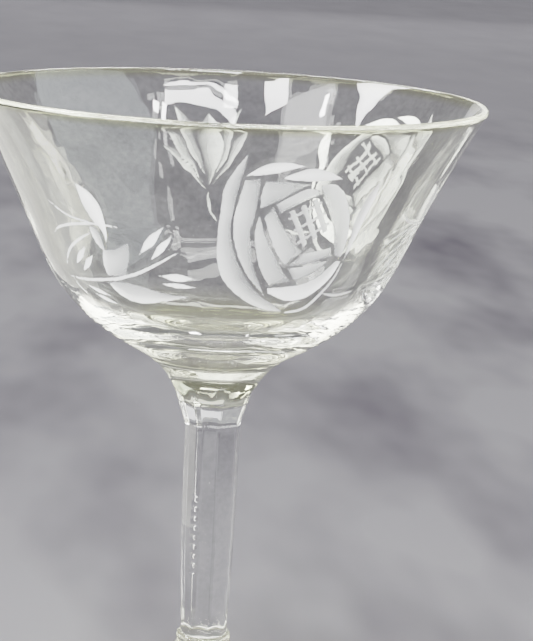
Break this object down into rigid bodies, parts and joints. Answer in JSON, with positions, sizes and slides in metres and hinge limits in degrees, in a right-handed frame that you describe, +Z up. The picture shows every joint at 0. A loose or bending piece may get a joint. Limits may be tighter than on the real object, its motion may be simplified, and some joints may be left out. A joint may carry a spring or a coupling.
{
  "type": "champagne coupe glass",
  "caption": "Stemmed glass with a flared open bowl, a panelled stem on a collar and a ringed knop, and a wide disc foot.",
  "frame": {"origin": "on the table under the centre of the foot", "axes": "+Z up along the stem; a corner of the eight-panelled stem lies 7.5 degrees past each of the X and Y axes"},
  "size_m": [0.098, 0.098, 0.128],
  "materials": {
    "clear_glass": "fire-polished, faint straw tint where it is thick",
    "cut_glass": "grey-cut engraving, left unpolished and frosted"
  },
  "bodies": {
    "root": {"bowl": "clear_glass", "stem": "clear_glass", "stem_collar": "clear_glass", "ringed_knop": "clear_glass", "foot": "clear_glass"}
  },
  "joints": []
}
